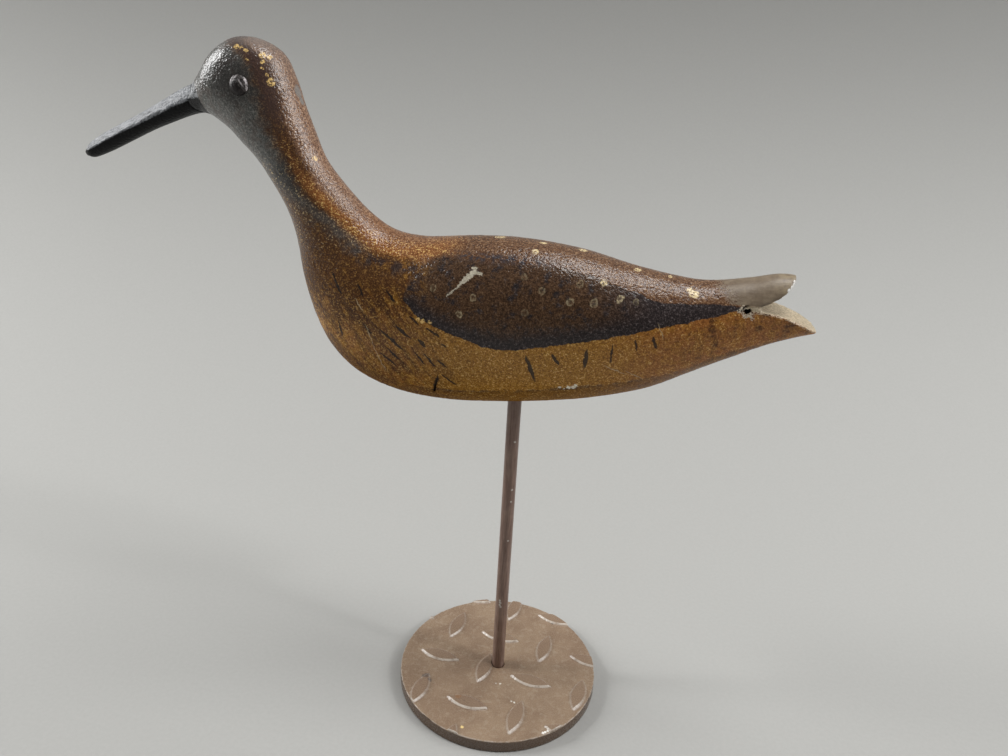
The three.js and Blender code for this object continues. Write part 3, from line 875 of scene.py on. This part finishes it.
def brushwork(colour, place, ragged):
    """Dashes of a small brush on the breast and flank, and dots dabbed in rings on the wing."""
    dashes = strokes(ragged, (
        (10.2, 184.7, 6.4, 0.9, 71), (20.2, 190.3, 2.8, 0.75, 56), (32.1, 192, 4.4, 0.85, 93),
        (42.2, 195, 4.1, 0.5, 93), (51.4, 199.4, 2.4, 0.4, 79), (58.4, 201, 2.9, 0.6, 75),
        (-76, 209.7, 5.1, 0.5, 59), (-50, 189.5, 7.2, 0.7, 37), (-44.6, 193.7, 4.5, 0.7, 35),
        (-36.1, 190, 2.4, 0.8, 41), (-31.4, 195.4, 3.5, 0.6, 26), (-39.8, 199.2, 2.9, 0.55, 39),
        (-26.3, 190.6, 1.4, 0.5, 34), (-33.1, 182.6, 3.9, 0.5, 49), (-27.4, 181.6, 2.7, 0.45, 37),
        (-25, 174.2, 4, 0.5, 40), (-50, 206.6, 1.5, 0.6, 35), (-61, 192.4, 3.2, 0.5, 48),
        (-74.6, 189.8, 3.7, 0.5, 75), (-51.6, 179.8, 4.7, 0.5, 33), (-49.4, 183.1, 4, 0.45, 40),
        # The dash at (-31.2, 170.8) lies in the breast crack: painted shade that darkens its edges.
        (-37.2, 182.8, 3.5, 0.4, 52), (-31.2, 170.8, 5.4, 0.8, 108), (-64.9, 208.6, 3, 0.4, 58),
        (-51, 207.8, 3.5, 0.4, 40)))
    colour = (dashes.step(1.15, 0.8) * 0.9).over(colour, (0.012, 0.009, 0.007))
    flat = ragged.vector("MULTIPLY", (1, 0, 1))
    dab = 0.0
    for along, up, size, strength in (
            (-32.8, 213.4, 1.4, 0.4), (-15.4, 211.6, 1.4, 0.5), (-20.7, 204.6, 1.4, 0.8),
            (12.2, 217.3, 1.5, 0.35), (4.2, 221.6, 1.2, 0.3), (26.5, 221, 1.4, 0.4),
            (23.7, 214.3, 1.5, 0.55), (33, 214.6, 1.5, 0.5), (42.8, 216.6, 1.5, 1),
            (49, 216, 1.1, 0.4), (35.6, 222.1, 1.2, 0.7), (6.5, 208.3, 1.5, 0.25)):
        away = flat.vector("DISTANCE", (along, 0, up), output=1) / size
        ring = away.step(1.15, 0.9) * (0.2 + away.step(0.3, 0.85) * 0.8)
        dab = (ring * strength).largest(dab)
    broken = place.noise(1.1, 3, 0.7).step(0.38, 0.56)
    return (dab * (0.1 + broken * 0.85) * 0.85).over(colour, (0.6, 0.49, 0.3))


def wear(colour, place, ragged, grain):
    """Scratches and the scar on the left, flecks of older paint, and chips down to the ground coat."""
    left = ragged.parts()[1].step(0, -2)
    torn = place.drifted(3.2, 0.9)
    crumbs = place.noise(1.1, 3, 0.75).step(0.42, 0.52)
    scratches = strokes(ragged, (
        (-65, 202.6, 3.1, 0.22, 51), (-60.2, 190.1, 4.4, 0.22, 69), (-56.2, 180, 6.5, 0.2, 68),
        (44, 188, 5, 0.2, 20), (52, 186, 4, 0.2, 28), (60, 206, 3, 0.2, 60)))
    colour = (scratches.step(1.3, 0.7) * left * 0.75).over(colour, (0.46, 0.34, 0.19))
    scar = strokes(torn, (
        (-24.2, 213.2, 3.6, 0.28, -43), (-18.4, 219.4, 3.8, 1.1, -46), (-15, 220.8, 2.4, 0.5, 6),
        (-21.2, 216.6, 2.2, 0.6, -58), (-16.8, 222.6, 1.2, 0.4, -20)))
    bared = (grain - 0.2).over((0.4, 0.345, 0.25), (0.8, 0.75, 0.62))
    colour = (scar.step(1.15, 0.9) * left).over(colour, bared)
    gold = spots(ragged, (
        (-120.9, -9.4, 300.3, 1), (-118.6, -9.6, 300.2, 0.9), (-116.1, -10.2, 299, 1),
        (-115.2, -12, 295.6, 0.7), (-110, -8.6, 297.6, 1.3), (-107.4, -7.4, 297.2, 1.2),
        (-109.6, -9.4, 295, 0.7), (-109.2, -10.9, 292.7, 0.6), (-107.6, -10.6, 290.2, 0.7),
        (-106, -10.3, 287.6, 1.5), (-104.6, -9.6, 288.6, 0.6), (-104.2, -9, 291.5, 0.6),
        (-90.7, -5, 258.6, 1.1), (-38, -24, 200.2, 0.9), (-36, -24, 199.6, 0.9),
        (-32.8, -24.2, 199.4, 0.7)))
    colour = (gold.step(1.3, 0.9) * crumbs).over(colour, (0.8, 0.54, 0.2))
    cream = spots(ragged, (
        (-10.6, -0.2, 232.5, 1.9), (6.3, -9.6, 230, 1.3), (8, -1.8, 232.2, 1.3),
        (24.5, -0.3, 230.7, 1.7), (47.8, -3.6, 225.7, 1.3), (60.7, -2.3, 223.9, 0.9),
        (70.8, -9, 219.9, 1.7), (69, -8, 221.4, 1.1), (35.6, -15.2, 222.4, 1.2)))
    colour = (cream.step(1.3, 0.9) * crumbs).over(colour, (0.76, 0.6, 0.33))
    chips = spots(torn, (
        (22.4, -19.3, 176.8, 0.6), (24.2, -18.6, 176.2, 0.5), (26, -19.1, 177, 1),
        (27.9, -18.6, 177.6, 1), (28.9, -19, 178.6, 0.8), (30.2, -19, 176.9, 0.5)))
    colour = (chips.step(1.2, 0.8) * (0.7 + crumbs * 0.3)).over(colour, (0.9, 0.85, 0.72))
    lead = spots(ragged, ((-99.7, 0.1, 283.9, 2.7), (-98.6, 0.6, 280.6, 1.9)))
    return (lead.step(1.3, 0.7) * 0.7).over(colour, (0.2, 0.205, 0.2))


def bare_wood(colour, place, grain):
    """Bare wing tips and tail with a painted highlight on the tips' end, the break at the notch, and the
    knot hole and crack painted black as shade; and masks of what is bare and of the shaded pits.
    """
    x, y, z = place.parts()
    lines = place.vector("MULTIPLY", (0.1, 1, 1)).noise(1.3, 4, 0.6)
    patches = place.noise(0.3, 3, 0.6)
    over_tail = z - profile(x, [tuple(spot) for spot in bow(
        *(carved(*spot) for spot in (notch_apex, tail_upperside, tail_tip)), 7)])
    worn = (x + z + (grain - 0.5) * 12 + (patches - 0.5) * 14).step(300, 309)
    tips = worn * over_tail.step(1.2, 2.2)
    horn = patches.tints((0.3, 0.15, 0.108, 0.07), (0.5, 0.2, 0.15, 0.1), (0.72, 0.26, 0.205, 0.14))
    horn = ((lines - 0.5).size() * 1.5).over(horn, (0.1, 0.07, 0.045))
    horn = (x.step(98, 107) * patches.step(0.35, 0.6) * 0.4).over(horn, (0.36, 0.285, 0.165))
    # Near-white on the rounded end of the wing tips: a painted highlight.
    tip_rim_highlight = spots(place, ((107.9, -3.8, 227.6, 1), (107.7, -4.6, 226.6, 1.1),
                            (107.1, -5.8, 225.7, 1.1), (106.2, -7.2, 224.9, 1)))
    horn = (tip_rim_highlight.step(1.1, 0.7) * patches.step(0.3, 0.45)).over(horn, (0.85, 0.83, 0.79))
    colour = tips.over(colour, horn)
    cream = lines.tints((0.3, 0.22, 0.165, 0.1), (0.5, 0.335, 0.268, 0.168), (0.72, 0.46, 0.39, 0.28))
    cream = (grain.step(0.58, 0.66) * x.step(106, 94) * 0.6).over(cream, (0.1, 0.075, 0.05))
    cream = (x.step(100, 94) * 0.3).over(cream, (0.17, 0.13, 0.085))
    tail = x.step(90.5, 91.5) * over_tail.step(-0.4, 0) * over_tail.step(2.2, 1.2)
    colour = tail.over(colour, cream)
    rim = over_tail.step(-1.3, -0.4) * x.step(92, 96) * grain.step(0.42, 0.56) * (1 - tips)
    colour = (rim * 0.8).over(colour, (0.6, 0.5, 0.36))
    broken = spots(place.drifted(3.5, 0.7), (
        (91.6, -11.2, 215, 1.9), (93.4, -11.2, 213.9, 1.1), (89.8, -10.9, 216.6, 1.2),
        (88.8, -11, 215.4, 0.8))).step(1.15, 0.85) * grain.step(0.38, 0.5)
    colour = broken.over(colour, (0.56, 0.48, 0.36))
    knot = spots(place, ((91.8, -10.4, 215.9, 2.4), (91.8, -8.5, 215.9, 2.4))).step(1.1, 0.9)
    knot = knot * (y - (x - 92) * 0.4).step(-10.7, -9.9)
    # The knot hole and the crack are painted near-black and made matt: painted shade in the hollows.
    crack = spots(place, ((-30.2, -18, 173, 4.5), (-31.8, -16, 168, 4.5))).step(1.05, 0.95)
    shaded_pits = knot.largest(crack * (y + 17.1 + (z - 165.6) * 0.5).step(0.5, 1.1))
    colour = shaded_pits.over(colour, (0.01, 0.007, 0.005))
    return colour, tips.largest(tail).largest(broken), shaded_pits


def decoy_paint():
    """Thick old paint in grains, glossy where it is sound, over wood that shows at the tail."""
    material, shader, place = new_finish("decoy_paint")
    ragged = place.drifted(2.2, 0.35, 0.6)
    pebbles = place.noise(0.95, 1, 0.5)
    fine = place.noise(1.9, 2, 0.6)
    grain = (pebbles * 0.4 + fine * 0.6 - 0.5) * 1.6 + 0.5
    colour, lips = plumage(place, ragged, grain)
    colour = brushwork(colour, place, ragged)
    colour = wear(colour, place, ragged, grain)
    colour, bare, shaded_pits = bare_wood(colour, place, grain)
    fibres = place.vector("MULTIPLY", (0.1, 1, 1)).noise(1.3, 4, 0.6) * 0.25
    height = (pebbles + fine * 0.12) * (1 - bare) + fibres * bare
    rough = 0.2 + fine * 0.1 + bare * 0.16
    finish_with(shader, Base_Color=colour, Roughness=rough, IOR=1.5, Specular_IOR_Level=0.6,
                Normal=bumped(height, 0.28))
    z = place.parts()[2]
    dusty = z.step(228, 205) * 0.4 + z.step(190, 165) * 0.5
    part_matt(shader, colour, dusty.largest(lips * 0.5).largest(shaded_pits))
    return material


def crack_cutter():
    """A thin wedge, driven into the left side of the breast where the wood has split."""
    (top_x, top_z), (low_x, low_z) = crack_top, crack_bottom
    middle_x, middle_z = (top_x + low_x) / 2, (top_z + low_z) / 2
    outline = [(top_x, top_z), (middle_x - crack_width * 0.2, middle_z),
               (low_x - crack_width / 2, low_z), (low_x + crack_width / 2, low_z),
               (middle_x + crack_width * 0.3, middle_z + 0.3)]
    return slab("breast_crack", outline, -carved_thickness, -crack_reach, True)


def hole_cutter():
    """A lumpy pit at the head of the notch, where a knot has broken out."""
    rings = []
    for tilt in np.linspace(-1.45, 1.45, 13):
        rings.append([])
        for turn in np.linspace(0, 2 * math.pi, 32, endpoint=False):
            away = (math.cos(tilt) * math.cos(turn) * (1 + 0.2 * math.sin(3 * turn)),
                    math.cos(tilt) * math.sin(turn), math.sin(tilt))
            lump = np.array((0, 0, 0.25 * math.sin(2 * turn + 1)))
            rings[-1].append(knot_middle + np.multiply(knot_reach, away) + lump)
    return new_piece("knot_hole", *tube(rings), smooth=False)


def socket_cutter():
    """The blind hole that the rod is pushed into from below."""
    radius = rod_radius + 0.3
    turns = np.linspace(0, 2 * math.pi, 48, endpoint=False)
    outline = [(radius * math.cos(turn), radius * math.sin(turn)) for turn in turns]
    return slab("rod_socket", outline, belly_height - carved_thickness, rod_high.z / MM + 0.3, False)


def turned(name, outline, middle, axis, around=64):
    """A solid turned round an axis through its middle, from pairs of radius and height, lowest first."""
    across = axis.orthogonal().normalized()
    beside = axis.cross(across)
    turns = np.linspace(0, 2 * math.pi, around, endpoint=False)
    spokes = [across * math.cos(turn) + beside * math.sin(turn) for turn in turns]
    rings = [[middle + axis * height + spoke * radius for spoke in spokes] for radius, height in outline]
    return new_piece(name, *tube(rings))


def eye_place(node):
    """The middle of an eye's seat on the skin and the way it faces, from the dome's own mesh."""
    points = np.array([vertex.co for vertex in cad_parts[node].data.vertices]) / MM
    middle = (points.min(0) + points.max(0)) / 2
    facing = Vector(np.linalg.svd(points - middle)[2][2])
    if facing.y * middle[1] < 0:
        facing.negate()
    heights = (points - middle) @ np.array(facing)
    return Vector(middle) + facing * (heights.min() + eye_seat), facing


def seat_cutter(node):
    """The round seat that an eye is let into, with a little room round it."""
    radius = eye_radius + eye_room
    return turned("seat_" + node, ((radius, -eye_seat - eye_room), (radius, eye_proud)), *eye_place(node))


bird_finish = decoy_paint()
follow_rule(bird, relief_rule(bird_finish), Grain=paint_grain, Rasp=rasp_depth)
cut(bird, socket_cutter(), seat_cutter("eye_left"), seat_cutter("eye_right"), crack_cutter(),
    hole_cutter())
cleaned(bird)
bird.data.materials.clear()
bird.data.materials.append(bird_finish)
bird.data.polygons.foreach_set("material_index", [0] * len(bird.data.polygons))
bird.data.shade_smooth()
bird.data.set_sharp_from_angle(angle=math.radians(50))
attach(bird, "root")
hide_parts("carved_bird")


# Bill
# A separate tapering stick of wood, faceted with a knife and butted against the flat of the face.
# It is painted black; the grey along the two slopes of its upper side is painted reflection together with
# rubbed paint.

bill_length = 66.6
bill_seam = 0.06
bill_squareness = (2.8, 2.1)
# From root to tip, as shares: the place, and the reach up, down and sideways against that at the face
bill_stations = (
    (0, 1, 1, 1), (0.05, 1.02, 0.84, 0.97), (0.13, 1, 0.72, 0.91), (0.26, 0.9, 0.63, 0.83),
    (0.42, 0.79, 0.56, 0.77), (0.6, 0.72, 0.59, 0.73), (0.78, 0.65, 0.63, 0.7), (0.9, 0.53, 0.6, 0.65),
    (0.96, 0.36, 0.52, 0.53), (1, 0.08, 0.28, 0.25),
)


def bill_rings():
    """Each ring is round below and has two flat slopes above, which meet the sides at a knife edge."""
    rings_along, around = 150, 96
    places = np.linspace(0, 1, rings_along + 1)
    table = np.array(bill_stations)
    reaches = smooth_line(table[:, 1:], places, 0)
    alongs = smooth_line(table[:, :1], places, 0)[:, 0]
    back, belly = (np.array([x, 0, z]) for x, z in (
        carved(*stations[-1][:2]), carved(*stations[-1][2:4])))
    up = back - belly
    half_depth = np.linalg.norm(up) / 2
    up = up / np.linalg.norm(up)
    root = (back + belly) / 2 + bill_forward * bill_seam
    angle = -2 * math.pi * np.arange(around) / around
    rise, side = np.sin(angle), np.cos(angle)
    rings = []
    for along, (over, under, wide) in zip(alongs, reaches):
        power = 2 / np.where(rise > 0, *bill_squareness)
        lift = signed_power(rise, power) * np.where(rise > 0, over, under)
        waver = 0.03 * math.sin(along * 23) + 0.03 * math.sin(along * 41 + 1) * math.sin(along * 9)
        reach = pared(lift, signed_power(side, power) * wide, over, under, wide,
                      min(1, (1 - along) / 0.08), waver * min(1, along / 0.1))
        ring = (root + bill_forward * along * bill_length + up * (lift * half_depth)[:, None]
                + np.array([0, 1, 0]) * (reach * face_half_width)[:, None])
        bend = np.minimum(1, np.abs(ring[:, 1]) / face_half_width)
        rings.append(ring + bill_forward * (bill_saddle * bend ** 2 * (1 - along))[:, None])
    return rings


def bill_paint():
    """Black paint, brushed along the bill, grey on its upper slopes as painted reflection together with
    rubbed paint, broken up by grains.
    """
    material, shader, place = new_finish("black_bill_paint")
    drawn = place.node("ShaderNodeMapping", {"vector_type": "TEXTURE"}, {
        "Vector": place, "Rotation": (0, -bill_droop, 0), "Scale": (5, 1, 1)})
    lines = drawn.noise(1.0, 4, 0.6)
    grains = place.noise(1.2, 4, 0.65)
    x, _, z = place.parts()
    arris = profile(x, ((-202.5, 253.2), (-199.3, 254.5), (-189.6, 259.6), (-178.6, 264.3),
                        (-166.7, 269.6), (-154.3, 275.2), (-142, 279.5)))
    upward = (z - arris + (grains - 0.5) * 1.2).step(-0.3, 0.3)
    # The grey on the upper slopes is painted reflection together with rubbed paint.
    worn_and_highlit = upward * (grains * 0.6 + lines * 0.4).step(0.32, 0.48)
    sheen_and_wear_grey = lines.step(0.35, 0.7).over((0.145, 0.152, 0.162), (0.3, 0.31, 0.328))
    colour = worn_and_highlit.over((0.009, 0.009, 0.0095), sheen_and_wear_grey)
    finish_with(shader, Base_Color=colour, Roughness=0.24 + grains * 0.16, IOR=1.5,
                Specular_IOR_Level=0.16, Normal=bumped(place.noise(1.0, 1, 0.5) + lines * 0.2, 0.4))
    part_matt(shader, colour, (1 - upward) * 0.4)
    return material


bill = new_piece("black_bill", *tube(bill_rings()))
bill.data.materials.append(bill_paint())
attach(bill, "root")
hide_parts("bill")


# Eyes
# Two small domes, let into seats in the sides of the head, dark and glossy. Their upper part is painted
# lighter, worn slate paint together with painted reflection, with pale arcs that are painted reflections
# of the side lamps.

brow_height = 0.22


def eye_dome(node):
    """The dome, turned, with a shoulder and a rounded top, and a ridge of paint on its upper edge."""
    middle, facing = eye_place(node)
    outline = [(eye_radius * 0.7, -eye_seat), (eye_radius - 0.15, -eye_seat),
               (eye_radius, -eye_seat + 0.15), (eye_radius, -0.5)]
    for step in range(17):
        share = step / 16
        start, shoulder, top = (1 - share) ** 2, 2 * share * (1 - share), share ** 2
        outline.append((eye_radius * (start + 0.75 * shoulder), eye_proud * (shoulder + top)))
    outline[-1] = (0.05, eye_proud)
    dome = turned("glossy_" + node, outline, middle, facing, 96)
    for vertex in dome.data.vertices:
        away = vertex.co / MM - middle
        ring = math.hypot(away.x, away.z) / eye_radius
        brow = max(0, away.z / eye_radius) * math.exp(-((ring - 0.78) / 0.13) ** 2)
        vertex.co += facing * (brow_height * brow * MM)
    return dome


def eye_finish():
    """Near-black gloss; above two lines that run down from the middle of each eye it is lighter, worn
    paint together with painted reflection, and pale arcs are painted reflections of the side lamps.
    """
    material, shader, place = new_finish("eye_gloss")
    middle = eye_place("eye_left")[0]
    ragged = place.drifted(1, 1.1, 0.6, 2).vector("SUBTRACT", tuple(middle))
    x, _, z = ragged.parts()
    haze = place.noise(1.2, 3, 0.6)
    legs = (x + 0.8).largest(0) * 1.2 + (x + 0.8).smallest(0) * -0.83
    # Above the lines the eye is lighter: painted reflection together with worn paint.
    worn = (z - 1.8 + legs).step(-0.1, 0.4)
    colour = haze.step(0.4, 0.8).over((0.01, 0.007, 0.007), (0.035, 0.025, 0.024))
    sheen_film = haze.step(0.3, 0.7).over((0.022, 0.019, 0.018), (0.09, 0.078, 0.075))
    colour = worn.over(colour, sheen_film)
    # Pale arcs at the upper left and right: painted reflections of the side lamps.
    reflection_arcs = strokes(ragged, ((-2.7, 1.9, 1.5, 0.3, -70), (-1.3, 2.4, 1.2, 0.26, -51),
                            (1.7, 1, 1.3, 0.28, 55), (3.3, 1.8, 1.5, 0.3, 63), (3.7, -1.5, 1.9, 0.3, 87)))
    reflection_arcs = reflection_arcs.step(1.6, 0.6) * (0.5 + haze.step(0.4, 0.6) * 0.5)
    colour = reflection_arcs.over(colour, (0.6, 0.55, 0.555))
    finish_with(shader, Base_Color=colour, Roughness=0.26 + haze * 0.2, IOR=1.45, Specular_IOR_Level=0.3,
                Normal=bumped(haze, 0.3))
    return material


dark_gloss = eye_finish()
for eye_node in ("eye_left", "eye_right"):
    eye = eye_dome(eye_node)
    eye.data.materials.append(dark_gloss)
    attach(eye, "root")
    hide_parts(eye_node)


# Setting
# Pale seamless paper that curves up behind the piece, lit by two large soft windows at the sides, two
# small lamps beside them and one lamp overhead, in a dim room.

camera_place = Vector((60.7, -311.7, 302.1)) * MM
camera_yaw = math.radians(12)
camera_tilt = math.radians(-22.64)
camera_roll = math.radians(3.3)
camera_data = bpy.data.cameras.new("camera")
camera_data.sensor_width = 36
camera_data.lens = 27.5
camera_data.clip_start = 0.01
camera = bpy.data.objects.new("camera", camera_data)
bpy.context.scene.collection.objects.link(camera)
camera.matrix_world = (Matrix.Translation(camera_place) @ Matrix.Rotation(camera_yaw, 4, "Z")
                       @ Matrix.Rotation(math.pi / 2 + camera_tilt, 4, "X")
                       @ Matrix.Rotation(camera_roll, 4, "Z"))
bpy.context.scene.camera = camera


def backdrop():
    """The paper: a flat floor, a wide bend and an upright wall, square to the camera."""
    width, front, bend_start, bend_radius, height = 3200, -1400, 120, 420, 1900
    line = [(front, 0), (bend_start - 400, 0), (bend_start, 0)]
    for step in range(1, 33):
        angle = math.pi / 2 * step / 32
        line.append((bend_start + bend_radius * math.sin(angle), bend_radius * (1 - math.cos(angle))))
    line.append((bend_start + bend_radius, height))
    cosine, sine = math.cos(camera_yaw), math.sin(camera_yaw)
    points, faces = [], []
    for back, up in line:
        for side in (-width / 2, width / 2):
            points.append((side * cosine - back * sine, side * sine + back * cosine, up))
    for step in range(len(line) - 1):
        faces.append((2 * step, 2 * step + 1, 2 * step + 3, 2 * step + 2))
    return new_piece("paper_backdrop", points, faces)


def paper():
    """Matt grey paper, painted darker towards the top of the wall as painted shade."""
    material, shader, place = new_finish("grey_paper")
    fibre = place.noise(0.5, 3, 0.6)
    up = place.parts()[2]
    colour = fibre.step(0.2, 0.8).over((0.41, 0.408, 0.392), (0.43, 0.428, 0.411))
    # The wall's paper is painted darker upwards: painted shade for the light falling off up the wall.
    colour = (up.step(0, 560) * 0.9).over(colour, (0.2, 0.199, 0.191))
    finish_with(shader, Base_Color=colour, Roughness=0.9, Specular_IOR_Level=0.2,
                Normal=bumped(fibre, 0.05))
    return material


floor = backdrop()
floor.data.materials.append(paper())


def lamp(name, azimuth, elevation, distance, size, power):
    """A square soft lamp that faces the bird; angles in degrees, lengths in metres, power in watts."""
    data = bpy.data.lights.new(name, "AREA")
    data.shape, data.size, data.energy = "SQUARE", size, power
    light = bpy.data.objects.new(name, data)
    bpy.context.scene.collection.objects.link(light)
    turn, rise = math.radians(azimuth), math.radians(elevation)
    away = Vector((math.cos(rise) * math.cos(turn), math.cos(rise) * math.sin(turn), math.sin(rise)))
    target = Vector((0, 0, 0.1))
    light.location = target + away * distance
    light.rotation_euler = away.to_track_quat("Z", "Y").to_euler()


lamp("left_lamp", azimuth=191, elevation=37, distance=1.4, size=0.14, power=3)
lamp("left_window", azimuth=180, elevation=26, distance=1.5, size=0.78, power=15.7)
lamp("right_lamp", azimuth=-10, elevation=38, distance=1.4, size=0.1, power=2.6)
lamp("right_window", azimuth=8, elevation=42, distance=1.5, size=1.03, power=13.4)
lamp("ceiling_lamp", azimuth=15, elevation=82, distance=1.5, size=0.5, power=8)

world = bpy.data.worlds.new("room")
world.use_nodes = True
room_light = world.node_tree.nodes["Background"].inputs
room_light["Color"].default_value = (1, 1, 1, 1)
room_light["Strength"].default_value = 0.14
bpy.context.scene.world = world
bpy.context.scene.view_settings.view_transform = "Standard"
